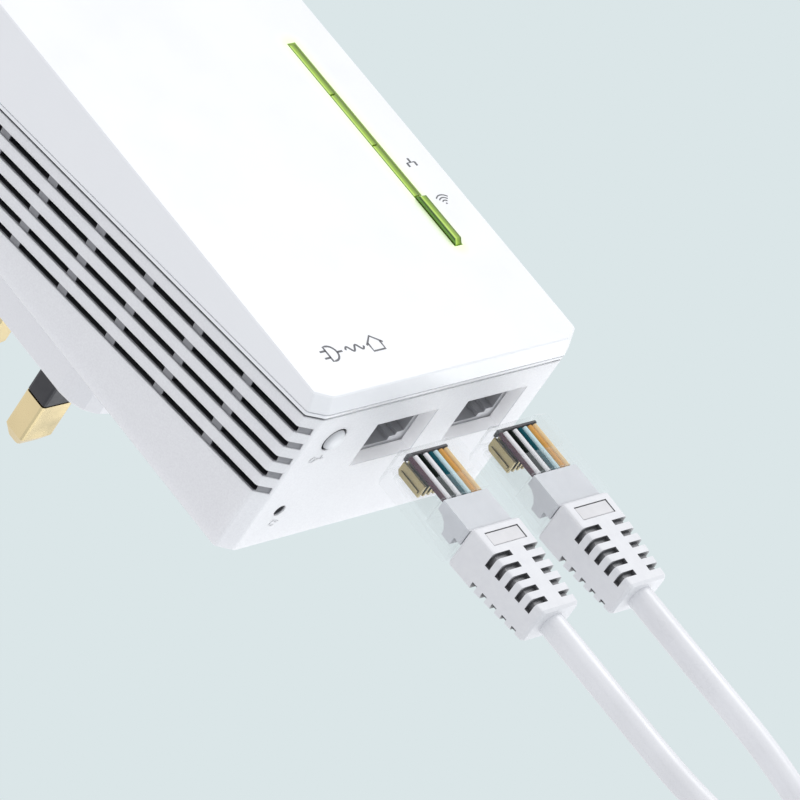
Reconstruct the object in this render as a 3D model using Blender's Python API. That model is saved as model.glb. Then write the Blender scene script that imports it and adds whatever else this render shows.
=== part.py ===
"""Plug-in powerline adapter with two patch leads at its ports, in metres, +Z up.

The front faces -Y, the mains pins point along +Y and the ports open downwards.
Heights are worked out from the lower end, and main() then lowers everything so that
the origin is on the face that meets the wall socket, in the middle of the pins.
"""

from math import atan, cos, pi, radians, sin

import bmesh
import bpy
from mathutils import Matrix, Vector

# Housing
WIDTH = 0.054
HEIGHT = 0.094
FRONT_Y = -0.040
BACK_Y = -0.010
WALL = 0.0020
COVER_WALL = 0.0018
CORNER_X = 0.0026
CORNER_Z = 0.0015
CORNER_CUT = 0.0003
EDGE = 0.0005
COVER_EDGE = 0.0002
COVER_DRAFT = 0.0008
LIP_GROOVE = (-0.00090, -0.00068)
LIP_GROOVE_DEPTH = 0.00025
GAP = 0.0003
OVERSHOOT = 0.001
SMOOTH_ANGLE = radians(35)
BEVEL_ANGLE = radians(40)
BEVEL = 0.0004
SPLIT_Y = -0.0365
SPLIT_SLOPE = 0.12
SPLIT_GAP = 0.0002
LENS_GAP = 0.0002

# Side vents
VENT_ROWS = 5
VENT_Y = -0.0339
VENT_PITCH = 0.00292
VENT_SLOPE = 0.115
VENT_GROOVE = 0.0012
VENT_SLOT = 0.0010
VENT_GROOVE_DEPTH = 0.0003
VENT_END = 0.0005
VENT_FIRST_BRIDGE = 0.01085
VENT_BRIDGE = 0.0018
VENT_PERIOD = 0.0104
VENT_TALL = HEIGHT * (1 + VENT_SLOPE**2) ** 0.5

# Network ports
PORT_X = (-0.0044, 0.01425)
PORT_FRONT_Y = -0.0321
PORT_BODY = 0.00675
PORT_SHELF = 0.0006
PORT_SHELF_WIDTH = 0.0092
PORT_KEY = 0.00135
PORT_KEY_WIDTH = 0.0068
PORT_WIDTH = 0.0125
PORT_OPENING = 0.0083
JACK_SIZE = (0.0158, 0.0104, 0.0165)
JACK_CAVITY_WIDTH = 0.0120
JACK_CAVITY_DEPTH = 0.0145
SPRING_WIDTH = 0.00045
SPRING_THICK = 0.0004
SPRING_REACH = 0.0092
SPRING_BEND = 0.0060
SPRING_ROOT = 0.0008
SPRING_TOE = 0.0002
JACK_COMB_TALL = 0.0016
JACK_COMB_DEEP = 0.0006

# Buttons and lights
PAIR_XY = (-0.0188, -0.0312)
PAIR_RADIUS = 0.0018
PAIR_DOME = 0.0008
RESET_XY = (-0.0200, -0.0173)
RESET_RADIUS = 0.0010
STRIP_X = 0.0183
STRIP_Z = (0.0200, 0.0294, 0.0393, 0.0492, 0.0591)
STRIP_WIDTH = 0.0013
BAR_WIDTH = 0.0013
BAR_HEIGHT = 0.0007
BAR_FLANGE = 0.0005
BAR_FLANGE_THICK = 0.0007
LENS_FLANGE = 0.0007
LENS_FLANGE_THICK = 0.0010
LENS_SINK = 0.0001

# Switches behind the buttons
SWITCH_PLUNGER = 0.0008
SWITCH_GAP = 0.0002
SWITCH_SIZE = 0.0036
SWITCH_FACE_Z = 0.0046
SWITCH_WELL = 0.0012
PAIR_PLUNGER_Z = (0.0040, 0.0051)
RESET_PLUNGER_Z = (0.0026, 0.0051)
WIFI_SWITCH_SIZE = 0.0030
WIFI_SWITCH_FACE_Y = -0.0366
WIFI_SWITCH_WELL = 0.0011
WIFI_PLUNGER_Y = (-0.0369, -0.0361)

# Boards
BOARD = 0.0016
MAIN_BOARD_HALF = 0.0243
MAIN_BOARD_Y = -0.0349
MAIN_BOARD_Z = (0.0043, 0.0910)
MAIN_BOARD_CORNER = 0.0022
POWER_BOARD_HALF = 0.0235
POWER_BOARD_Y = -0.0139
POWER_BOARD_Z = (0.0290, 0.0840)
BUTTON_BOARD_X = (-0.0243, -0.0132)
BUTTON_BOARD_Y = (-0.0329, -0.0135)
BUTTON_BOARD_Z = (0.0083, 0.0095)
SHEET_HALF = 0.0238
SHEET_Y = (-0.0310, -0.0306)
SHEET_Z = (0.0285, 0.0840)

# Parts on the boards, as opposite corners seen from the front and the height off the board
PROCESSOR = ((-0.007, 0.040), (0.006, 0.053), 0.0012)
COUPLING_TRANSFORMER = ((0.002, 0.0205), (0.014, 0.0275), 0.0080)
CORE = ((-0.0225, 0.0600), (-0.0045, 0.0800), 0.0150)
CORE_WINDOW = ((-0.0190, 0.0635), (-0.0080, 0.0765))
WINDING_CENTRE = (-0.0135, 0.0700)
WINDING_SIZE = (0.0104, 0.0124)
WINDING_CORNER = 0.003
WINDING_INSET = 0.0005
CAPACITOR_CENTRE = (0.0125, 0.0750)
CHOKE_CENTRE = (0.0125, 0.0590)
CHOKE_HEIGHT = 0.0032
CHOKE_RADIUS = 0.0050
CHOKE_SECTION = 0.0022
FUSE_HEIGHT = 0.0024
FUSE_Z = 0.0330
FUSE_RADIUS = 0.0018
FUSE_X = (-0.021, -0.009)
ANTENNA_X = (0.0045, 0.0145, 0.0185)
ANTENNA_Z = (0.0700, 0.0740, 0.0900)
ANTENNA_HEIGHTS = (0.0008, 0.0012)

# Mains pins
PIN_Z = 0.044
PIN_X = 0.0111
EARTH_Z = PIN_Z + 0.0222
ORIGIN_Z = (PIN_Z + EARTH_Z) / 2
PIN_WIDTH = 0.00635
PIN_THICK = 0.0040
PIN_LENGTH = 0.0177
PIN_TIP = 0.0016
PIN_TIP_INSET = 0.0008
PIN_CORNER = 0.0005
PIN_HOLE_CORNER = 0.0004
PIN_ROOT_Y = -0.0120
EARTH_WIDTH = 0.0040
EARTH_TALL = 0.0080
EARTH_LENGTH = 0.0227
EARTH_TIP = 0.0022
EARTH_TIP_INSET = 0.0010
SLEEVE_THICK = 0.00065
SLEEVE_ROOT_Y = -0.0024
SLEEVE_END_Y = 0.0090
BASE_WIDTH = 0.042
BASE_Z = (0.032, 0.082)
BASE_WALL = 0.0025
BASE_CORNER = 0.006
BASE_EDGE = 0.0008

# Screws
POST_X = 0.0222
POST_Z = (0.024, 0.088)
POST_RADIUS = 0.0021
POST_SINK = 0.0006
POST_GAP = 0.0004
POST_HOLE_RADIUS = 0.0013
POST_HOLE_FRONT_Y = -0.024
SCREW_HOLE_RADIUS = 0.0025
DRIVE_HALF = 0.0011
DRIVE_ARM = 0.0003
DRIVE_DEPTH = 0.0011

# Patch leads
PLUG_WIDTH = 0.01168
PLUG_DEPTH = 0.0065
PLUG_LENGTH = 0.0150
PLUG_FRONT_Y = -0.0320
PLUG_REST_Z = -0.0042
LEAD_Y = PLUG_FRONT_Y + PLUG_DEPTH / 2
PLUG_CHAMFER = 0.0008
CONTACTS = 8
WIRE_PITCH = 0.00102
COMB_HALF = 3.9 * WIRE_PITCH
WIRE_RADIUS = 0.00053
WIRE_DEPTH = 0.0015
WIRE_SPAN = (0.0013, 0.0090)
INSERT_SPAN = (0.0093, 0.0150)
INSERT_HALF = 0.0044
INSERT_NOTCH = 0.0013
INSERT_WAIST = 0.0026
BLADE = 0.0004
LATCH_START = 0.0006
LATCH_LENGTH = 0.0136
LATCH_SLOPE = 0.128
LATCH_THICK = 0.0009
LATCH_HALF = 0.0029
LATCH_HINGE = 0.0010
BOOT_LENGTH = 0.0150
BOOT_CORNER = 0.0005
BOOT_WINDOW = (0.0011, 0.0034)
BOOT_WINDOW_HALF = 0.0034
BOOT_ROWS = 5
BOOT_FIRST_SLOT = 0.0050
BOOT_PITCH = 0.0020
BOOT_SLOT = 0.0009
BOOT_REACH = 0.0075
CORD_RADIUS = 0.0019
COIL_RADIUS = 0.0228
COIL_SECTION = 0.0058
COIL_Z = -0.130
COIL_OFFSET_Y = 0.0075
ENTRY_RADIUS = 0.025
FAR_DROP = 0.0270
SWAY_Z = -0.058
ROUTE_STEPS = 26


# Materials


def finish(name, colour, roughness, metallic=0.0, transmission=0.0):
    material = bpy.data.materials.new(name)
    material.use_nodes = True
    shader = material.node_tree.nodes["Principled BSDF"]
    shader.inputs["Base Color"].default_value = (*colour, 1.0)
    shader.inputs["Roughness"].default_value = roughness
    shader.inputs["Metallic"].default_value = metallic
    shader.inputs["Transmission Weight"].default_value = transmission
    return material


# Shapes


def closed(mesh):
    bmesh.ops.remove_doubles(mesh, verts=mesh.verts, dist=1e-7)
    bmesh.ops.recalc_face_normals(mesh, faces=mesh.faces)
    return mesh


def loft(rings, mesh=None):
    """A closed solid through rings of equally many points, capped at both ends."""
    mesh = mesh or bmesh.new()
    rows = [[mesh.verts.new(point) for point in ring] for ring in rings]
    for low, high in zip(rows, rows[1:]):
        for i in range(len(low)):
            j = (i + 1) % len(low)
            mesh.faces.new((low[i], low[j], high[j], high[i]))
    mesh.faces.new(rows[0])
    mesh.faces.new(rows[-1])
    return mesh


def place(a, b, c, axis):
    """A point from two outline coordinates and one along the axis."""
    return {"X": (c, a, b), "Y": (a, c, b), "Z": (a, b, c)}[axis]


def prism(outline, low, high, axis, mesh=None):
    rings = [[place(a, b, c, axis) for a, b in outline] for c in (low, high)]
    return loft(rings, mesh)


def box(low, high, mesh=None):
    outline = [(low[0], low[1]), (high[0], low[1]), (high[0], high[1]), (low[0], high[1])]
    return prism(outline, low[2], high[2], "Z", mesh)


def circle(a, b, radius, count=24):
    turns = [2 * pi * i / count for i in range(count)]
    return [(a + radius * cos(t), b + radius * sin(t)) for t in turns]


def rounded(a, b, width, tall, radius, steps=4):
    """A rectangle's outline with rounded corners, counter-clockwise."""
    points = []
    for turn, (side_a, side_b) in enumerate(((1, 1), (-1, 1), (-1, -1), (1, -1))):
        centre_a = a + side_a * (width / 2 - radius)
        centre_b = b + side_b * (tall / 2 - radius)
        for i in range(steps + 1):
            t = (turn + i / steps) * pi / 2
            points.append((centre_a + radius * cos(t), centre_b + radius * sin(t)))
    return points


def turned(profile, centre, axis, count=24):
    """A solid of revolution from (radius, place along the axis) steps."""
    rings = [
        [place(*point, along, axis) for point in circle(*centre, radius, count)]
        for radius, along in profile
    ]
    return loft(rings)


def ring(centre, radius, section, around, across):
    """A round ring whose axis lies along Y."""
    mesh = bmesh.new()
    rows = []
    for i in range(around):
        t = 2 * pi * i / around
        row = []
        for a, b in circle(0, 0, section, across):
            out = radius + a
            spot = (centre.x + out * cos(t), centre.y + b, centre.z + out * sin(t))
            row.append(mesh.verts.new(spot))
        rows.append(row)
    for i, row in enumerate(rows):
        after = rows[(i + 1) % around]
        for j in range(across):
            k = (j + 1) % across
            mesh.faces.new((row[j], row[k], after[k], after[j]))
    return mesh


def solid(name, mesh, material, origin=(0, 0, 0), bevel=0.0):
    closed(mesh)
    data = bpy.data.meshes.new(name)
    bmesh.ops.translate(mesh, verts=mesh.verts, vec=-Vector(origin))
    mesh.to_mesh(data)
    mesh.free()
    data.shade_smooth()
    data.set_sharp_from_angle(angle=SMOOTH_ANGLE)
    data.materials.append(material)
    thing = bpy.data.objects.new(name, data)
    thing.location = origin
    bpy.context.scene.collection.objects.link(thing)
    if bevel:
        edge = thing.modifiers.new("edges", "BEVEL")
        edge.width = bevel
        edge.segments = 2
        edge.limit_method = "ANGLE"
        edge.angle_limit = BEVEL_ANGLE
    return thing


def combine(thing, label, mesh, operation="DIFFERENCE"):
    closed(mesh)
    data = bpy.data.meshes.new(label)
    mesh.to_mesh(data)
    mesh.free()
    tool = bpy.data.objects.new(label, data)
    tool.hide_render = True
    tool.display_type = "WIRE"
    bpy.context.scene.collection.objects.link(tool)
    change = thing.modifiers.new(label, "BOOLEAN")
    change.object = tool
    change.operation = operation
    change.solver = "EXACT"


# Housing


def softened(outline, cut):
    """The outline with each corner turned into a short arc that starts cut away from it."""
    points = []
    for i, (a, b) in enumerate(outline):
        corner = Vector((a, b))
        before = corner + cut * (Vector(outline[i - 1]) - corner).normalized()
        after = corner + cut * (Vector(outline[(i + 1) % len(outline)]) - corner).normalized()
        points += [before, (before + 2 * corner + after) / 4, after]
    return [(point.x, point.y) for point in points]


def shell_outline(inset, draft=0.0):
    """The adapter's outline seen from the front, its corners cut, its ends drawn in by draft."""
    half = WIDTH / 2 - inset
    low = inset + draft
    high = HEIGHT - inset - draft
    corners = [
        (-half, low + CORNER_Z),
        (-half + CORNER_X, low),
        (half - CORNER_X, low),
        (half, low + CORNER_Z),
        (half, high - CORNER_Z),
        (half - CORNER_X, high),
        (-half + CORNER_X, high),
        (-half, high - CORNER_Z),
    ]
    return softened(corners, CORNER_CUT)


def flat_ring(inset, y, draft=0.0):
    return [(x, y, z) for x, z in shell_outline(inset, draft)]


def split_ring(inset, shift):
    return [(x, SPLIT_Y + SPLIT_SLOPE * z + shift, z) for x, z in shell_outline(inset)]


def jack_outline(x):
    """The socket's section: a wide body for the plug, then two steps down to its latch."""
    body = PORT_FRONT_Y + PORT_BODY
    shelf = body + PORT_SHELF
    steps = (
        (JACK_CAVITY_WIDTH / 2, PORT_FRONT_Y),
        (JACK_CAVITY_WIDTH / 2, body),
        (PORT_SHELF_WIDTH / 2, body),
        (PORT_SHELF_WIDTH / 2, shelf),
        (PORT_KEY_WIDTH / 2, shelf),
        (PORT_KEY_WIDTH / 2, body + PORT_KEY),
    )
    return [(x + half, y) for half, y in steps] + [(x - half, y) for half, y in reversed(steps)]


def slanted(mesh, row):
    """Tilts a vent cutter about the row's lower end, so that it follows the split."""
    pivot = Vector((0, VENT_Y + row * VENT_PITCH, 0))
    turn = Matrix.Rotation(-atan(VENT_SLOPE), 4, "X")
    bmesh.ops.transform(mesh, matrix=Matrix.Translation(pivot) @ turn, verts=mesh.verts)


def vent_groove():
    """A vent groove seen along its width: just below the skin, round both cut corners."""
    length = (CORNER_X**2 + CORNER_Z**2) ** 0.5
    along = Vector((-CORNER_X, -CORNER_Z)) / length
    inward = Vector((-CORNER_Z, CORNER_X)) / length
    bend = Vector((WIDTH / 2, CORNER_Z))
    end = bend + along * (length - VENT_END)
    rise = VENT_GROOVE_DEPTH * (length - CORNER_Z) / CORNER_X
    low = [
        bend + Vector((-VENT_GROOVE_DEPTH, rise)),
        end + inward * VENT_GROOVE_DEPTH,
        end - inward * OVERSHOOT,
        bend + Vector((OVERSHOOT, -OVERSHOOT / 2)),
    ]
    return [(a, b) for a, b in low] + [(a, VENT_TALL - b) for a, b in reversed(low)]


def vent_slots():
    """The stretches where a vent row goes right through, between its short bridges."""
    inner = WIDTH / 2 - WALL - 0.0004
    outer = WIDTH / 2 + OVERSHOOT
    low = CORNER_Z
    bridge = VENT_FIRST_BRIDGE
    spans = []
    while bridge < VENT_TALL - VENT_BRIDGE - CORNER_Z:
        spans.append((low, bridge))
        low = bridge + VENT_BRIDGE
        bridge += VENT_PERIOD
    spans.append((low, VENT_TALL - CORNER_Z))
    return [[(inner, a), (outer, a), (outer, b), (inner, b)] for a, b in spans]


def vent_cutters(width, outlines):
    """The same outlines, cut across every vent row on both long sides."""
    whole = bpy.data.meshes.new("vents")
    joined = bmesh.new()
    for side in (-1, 1):
        for row in range(VENT_ROWS):
            piece = bmesh.new()
            for outline in outlines:
                mirrored = [(side * a, b) for a, b in outline]
                prism(mirrored, -width / 2, width / 2, "Y", piece)
            slanted(piece, row)
            piece.to_mesh(whole)
            joined.from_mesh(whole)
            piece.free()
    bpy.data.meshes.remove(whole)
    return joined


def front_cover(material):
    groove_front, groove_back = LIP_GROOVE
    rings = [
        flat_ring(COVER_EDGE, FRONT_Y, COVER_DRAFT),
        flat_ring(0, FRONT_Y + COVER_EDGE, COVER_DRAFT),
        split_ring(0, groove_front),
        split_ring(LIP_GROOVE_DEPTH, groove_front),
        split_ring(LIP_GROOVE_DEPTH, groove_back),
        split_ring(0, groove_back),
        split_ring(0, -SPLIT_GAP),
        split_ring(COVER_WALL, -SPLIT_GAP),
        flat_ring(COVER_WALL, FRONT_Y + COVER_WALL, COVER_DRAFT),
    ]
    cover = solid("front_cover", loft(rings), material)
    root = FRONT_Y + COVER_WALL
    posts = bmesh.new()
    holes = bmesh.new()
    for x in (-POST_X, POST_X):
        for z in POST_Z:
            end = BACK_Y - WALL - POST_GAP
            prism(circle(x, z, POST_RADIUS), root - POST_SINK, end, "Y", posts)
            prism(circle(x, z, POST_HOLE_RADIUS, 16), POST_HOLE_FRONT_Y, BACK_Y, "Y", holes)
    combine(cover, "cover_posts", posts, "UNION")
    combine(cover, "post_holes", holes)
    slots = bmesh.new()
    low = STRIP_Z[0] - LENS_GAP
    high = STRIP_Z[-1] + LENS_GAP
    half = STRIP_WIDTH / 2 + LENS_GAP
    front = FRONT_Y - OVERSHOOT
    box((STRIP_X - half, front, low), (STRIP_X + half, root + OVERSHOOT, high), slots)
    combine(cover, "light_slot", slots)


def rear_housing(material):
    rings = [
        flat_ring(EDGE, BACK_Y),
        flat_ring(0, BACK_Y - EDGE),
        split_ring(0, SPLIT_GAP),
        split_ring(WALL, SPLIT_GAP),
        flat_ring(WALL, BACK_Y - WALL),
    ]
    housing = solid("rear_housing", loft(rings), material)
    combine(housing, "vent_grooves", vent_cutters(VENT_GROOVE, [vent_groove()]))
    combine(housing, "vent_slots", vent_cutters(VENT_SLOT, vent_slots()))
    openings = bmesh.new()
    half = PORT_WIDTH / 2
    for x in PORT_X:
        box(
            (x - half, PORT_FRONT_Y, -OVERSHOOT),
            (x + half, PORT_FRONT_Y + PORT_OPENING, WALL + OVERSHOOT),
            openings,
        )
    for outline in (circle(*PAIR_XY, PAIR_RADIUS + GAP, 32), circle(*RESET_XY, RESET_RADIUS, 20)):
        prism(outline, -OVERSHOOT, WALL + OVERSHOOT, "Z", openings)
    combine(housing, "end_openings", openings)
    holes = bmesh.new()
    deep = BACK_Y - WALL - OVERSHOOT
    for x in (-POST_X, POST_X):
        for z in POST_Z:
            prism(circle(x, z, SCREW_HOLE_RADIUS), deep, BACK_Y + OVERSHOOT, "Y", holes)
    pin_openings(deep, BACK_Y + OVERSHOOT, holes)
    combine(housing, "back_openings", holes)


def pin_sections():
    """Each mains pin's centre and size across, live, neutral and earth."""
    return (
        (PIN_X, PIN_Z, PIN_WIDTH, PIN_THICK),
        (-PIN_X, PIN_Z, PIN_WIDTH, PIN_THICK),
        (0.0, EARTH_Z, EARTH_WIDTH, EARTH_TALL),
    )


def pin_openings(low, high, mesh):
    """Adds an opening a gap wider than each mains pin."""
    for x, z, width, tall in pin_sections():
        outline = rounded(x, z, width + 2 * GAP, tall + 2 * GAP, PIN_HOLE_CORNER, 1)
        prism(outline, low, high, "Y", mesh)


def plug_base(material):
    middle = sum(BASE_Z) / 2
    tall = BASE_Z[1] - BASE_Z[0]

    def outline(inset, y):
        width = BASE_WIDTH - 2 * inset
        points = rounded(0, middle, width, tall - 2 * inset, BASE_CORNER - inset)
        return [(x, y, z) for x, z in points]

    rings = [
        outline(BASE_EDGE, 0.0),
        outline(0.0, -BASE_EDGE),
        outline(0.0, BACK_Y + GAP),
        outline(BASE_WALL, BACK_Y + GAP),
        outline(BASE_WALL, -BASE_WALL),
    ]
    base = solid("plug_base", loft(rings), material)
    holes = bmesh.new()
    pin_openings(-BASE_WALL - OVERSHOOT, OVERSHOOT, holes)
    combine(base, "pin_holes", holes)


def pin_ring(x, z, width, tall, inset, y):
    points = rounded(x, z, width - 2 * inset, tall - 2 * inset, PIN_CORNER, 2)
    return [(a, y, b) for a, b in points]


def mains_pins(brass, plastic):
    live, neutral, earth = pin_sections()
    for name, section in (("live", live), ("neutral", neutral)):
        rings = [
            pin_ring(*section, SLEEVE_THICK, PIN_ROOT_Y),
            pin_ring(*section, SLEEVE_THICK, SLEEVE_END_Y + GAP),
            pin_ring(*section, 0, SLEEVE_END_Y + GAP),
            pin_ring(*section, 0, PIN_LENGTH - PIN_TIP),
            pin_ring(*section, PIN_TIP_INSET, PIN_LENGTH),
        ]
        solid(f"{name}_pin", loft(rings), brass)
        rings = [pin_ring(*section, 0, SLEEVE_ROOT_Y), pin_ring(*section, 0, SLEEVE_END_Y)]
        sleeve = solid(f"{name}_pin_sleeve", loft(rings), plastic)
        bore = SLEEVE_THICK - GAP
        rings = [
            pin_ring(*section, bore, SLEEVE_ROOT_Y - OVERSHOOT),
            pin_ring(*section, bore, SLEEVE_END_Y + OVERSHOOT),
        ]
        combine(sleeve, f"{name}_sleeve_bore", loft(rings))
    rings = [
        pin_ring(*earth, 0, PIN_ROOT_Y),
        pin_ring(*earth, 0, EARTH_LENGTH - EARTH_TIP),
        pin_ring(*earth, EARTH_TIP_INSET, EARTH_LENGTH),
    ]
    solid("earth_pin", loft(rings), brass)


def screws(steel):
    places = {
        "housing_screw_lower_left": (-POST_X, POST_Z[0]),
        "housing_screw_lower_right": (POST_X, POST_Z[0]),
        "housing_screw_upper_left": (-POST_X, POST_Z[1]),
        "housing_screw_upper_right": (POST_X, POST_Z[1]),
    }
    for name, (x, z) in places.items():
        profile = [
            (0.0005, -0.0225),
            (0.0010, -0.0215),
            (0.0010, BACK_Y - 0.0018),
            (0.0021, BACK_Y - 0.0018),
            (0.0021, BACK_Y - 0.0007),
            (0.0018, BACK_Y - 0.0003),
        ]
        screw = solid(name, turned(profile, (x, z), "Y", 20), steel)
        arm = ((DRIVE_HALF, -DRIVE_ARM), (DRIVE_HALF, DRIVE_ARM), (DRIVE_ARM, DRIVE_ARM))
        outline = []
        for turn in range(4):
            t = turn * pi / 2
            for a, b in arm:
                outline.append((x + a * cos(t) - b * sin(t), z + a * sin(t) + b * cos(t)))
        combine(screw, f"{name}_drive", prism(outline, BACK_Y - DRIVE_DEPTH, BACK_Y, "Y"))


# Boards and what they carry


def boards(board, sheet):
    half = MAIN_BOARD_HALF
    low, high = MAIN_BOARD_Z
    corner = MAIN_BOARD_CORNER
    outline = [
        (-half, low),
        (half, low),
        (half, high - corner),
        (half - corner, high),
        (-half + corner, high),
        (-half, high - corner),
    ]
    main = solid("main_board", prism(outline, MAIN_BOARD_Y, MAIN_BOARD_Y + BOARD, "Y"), board)
    notches = bmesh.new()
    front = MAIN_BOARD_Y - OVERSHOOT
    rear = MAIN_BOARD_Y + BOARD + OVERSHOOT
    for x in (-POST_X, POST_X):
        for z in POST_Z:
            prism(circle(x, z, POST_RADIUS + POST_GAP), front, rear, "Y", notches)
    combine(main, "post_notches", notches)
    low, high = POWER_BOARD_Z
    power = box(
        (-POWER_BOARD_HALF, POWER_BOARD_Y, low), (POWER_BOARD_HALF, POWER_BOARD_Y + BOARD, high)
    )
    solid("power_board", power, board)
    spans = (BUTTON_BOARD_X, BUTTON_BOARD_Y, BUTTON_BOARD_Z)
    solid("button_board", box(*zip(*spans)), board)
    spans = ((-SHEET_HALF, SHEET_HALF), SHEET_Y, SHEET_Z)
    solid("insulation_sheet", box(*zip(*spans)), sheet)


def contact_places(x):
    """The middles of eight contacts side by side about x."""
    return [x + (i - (CONTACTS - 1) / 2) * WIRE_PITCH for i in range(CONTACTS)]


def jack(side, x, plastic, gold):
    width, depth, length = JACK_SIZE
    low = WALL + GAP
    front = MAIN_BOARD_Y + BOARD + GAP
    body = solid(
        f"jack_{side}",
        box((x - width / 2, front, low), (x + width / 2, front + depth, low + length)),
        plastic,
    )
    cavity = prism(jack_outline(x), low - OVERSHOOT, low + JACK_CAVITY_DEPTH, "Z")
    combine(body, f"jack_{side}_cavity", cavity)
    top = low + JACK_CAVITY_DEPTH - GAP
    near = PORT_FRONT_Y + GAP
    comb = box(
        (x - COMB_HALF, near, top - JACK_COMB_TALL), (x + COMB_HALF, near + JACK_COMB_DEEP, top)
    )
    contacts = solid(f"jack_contacts_{side}", comb, gold)
    outline = [
        (near, top - SPRING_ROOT),
        (near, top - SPRING_BEND),
        (near + SPRING_TOE, top - SPRING_REACH),
        (near + SPRING_TOE + SPRING_THICK, top - SPRING_REACH),
        (near + SPRING_THICK, top - SPRING_BEND),
        (near + SPRING_THICK, top - SPRING_ROOT),
    ]
    springs = bmesh.new()
    for middle in contact_places(x):
        prism(outline, middle - SPRING_WIDTH / 2, middle + SPRING_WIDTH / 2, "X", springs)
    combine(contacts, f"jack_springs_{side}", springs, "UNION")


def lights(clear):
    names = ("ethernet_light", "powerline_light", "power_light")
    half = STRIP_WIDTH / 2
    wide = half + LENS_FLANGE
    face = FRONT_Y + LENS_SINK
    foot = FRONT_Y + COVER_WALL + GAP
    back = foot + LENS_FLANGE_THICK
    right = [(half, face), (half, foot), (wide, foot), (wide, back)]
    outline = [(STRIP_X + a, y) for a, y in right]
    outline += [(STRIP_X - a, y) for a, y in reversed(right)]
    for name, low, high in zip(names, STRIP_Z[1:], STRIP_Z[2:]):
        solid(name, prism(outline, low + GAP / 2, high - GAP / 2, "Z"), clear)


def small_switch(name, centre, size, span, well_depth, axis, plastic):
    """A square switch case along span, with a round well for its plunger at the start."""
    face, base = span
    half = size / 2
    a, b = centre
    outline = [(a - half, b - half), (a + half, b - half), (a + half, b + half), (a - half, b + half)]
    case = solid(name, prism(outline, face, base, axis), plastic)
    mouth = circle(a, b, SWITCH_PLUNGER + SWITCH_GAP, 20)
    combine(case, f"{name}_well", prism(mouth, face - OVERSHOOT, face + well_depth, axis))


def switch_plunger(name, centre, span, axis, grey):
    """A round plunger along span, whose origin is at the end that is pressed."""
    tip, root = span
    outline = circle(*centre, SWITCH_PLUNGER, 16)
    solid(name, prism(outline, tip, root, axis), grey, place(*centre, tip, axis))


def wifi_control(green, black, grey):
    """The Wi-Fi button, which is the raised lower end of the light strip, and its switch."""
    low, high = STRIP_Z[0], STRIP_Z[1] - GAP
    half = BAR_WIDTH / 2
    foot = FRONT_Y + COVER_WALL + GAP
    root = foot + BAR_FLANGE_THICK
    outline = [
        (FRONT_Y - 0.0001, low),
        (FRONT_Y - BAR_HEIGHT, low + 0.0006),
        (FRONT_Y - BAR_HEIGHT, high - 0.0004),
        (FRONT_Y - 0.0003, high),
        (foot + 0.0002, high),
        (foot + 0.0002, low),
    ]
    origin = (STRIP_X, FRONT_Y, (low + high) / 2)
    bar = prism(outline, STRIP_X - half, STRIP_X + half, "X")
    button = solid("wifi_button", bar, green, origin)
    wide = half + BAR_FLANGE
    flange = box(
        (STRIP_X - wide, foot, low + SWITCH_GAP), (STRIP_X + wide, root, high - SWITCH_GAP)
    )
    combine(button, "wifi_flange", flange, "UNION")
    centre = (STRIP_X, (low + high) / 2)
    span = (WIFI_SWITCH_FACE_Y, MAIN_BOARD_Y - GAP)
    small_switch("wifi_switch", centre, WIFI_SWITCH_SIZE, span, WIFI_SWITCH_WELL, "Y", black)
    switch_plunger("wifi_switch_plunger", centre, WIFI_PLUNGER_Y, "Y", grey)


def end_controls(white, black, grey):
    """The domed pair button, the reset plunger behind its hole, and their switches."""
    profile = [
        (0.0004, -PAIR_DOME),
        (0.0009, -0.92 * PAIR_DOME),
        (0.0013, -0.70 * PAIR_DOME),
        (0.0016, -0.35 * PAIR_DOME),
        (PAIR_RADIUS, 0.0001),
        (PAIR_RADIUS, WALL + GAP),
        (0.0027, WALL + GAP),
        (0.0027, WALL + GAP + 0.0008),
        (0.0012, WALL + GAP + 0.0008),
        (0.0012, 0.0037),
    ]
    solid("pair_button", turned(profile, PAIR_XY, "Z", 32), white, (*PAIR_XY, 0))
    span = (SWITCH_FACE_Z, BUTTON_BOARD_Z[0] - GAP)
    small_switch("pair_switch", PAIR_XY, SWITCH_SIZE, span, SWITCH_WELL, "Z", black)
    switch_plunger("pair_switch_plunger", PAIR_XY, PAIR_PLUNGER_Z, "Z", grey)
    small_switch("reset_switch", RESET_XY, SWITCH_SIZE, span, SWITCH_WELL, "Z", black)
    switch_plunger("reset_switch_plunger", RESET_XY, RESET_PLUNGER_Z, "Z", grey)


def component(corners, front, back):
    """A block between two depths, from its opposite corners seen from the front."""
    (left, low), (right, high) = corners
    return box((left, front, low), (right, back, high))


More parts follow.
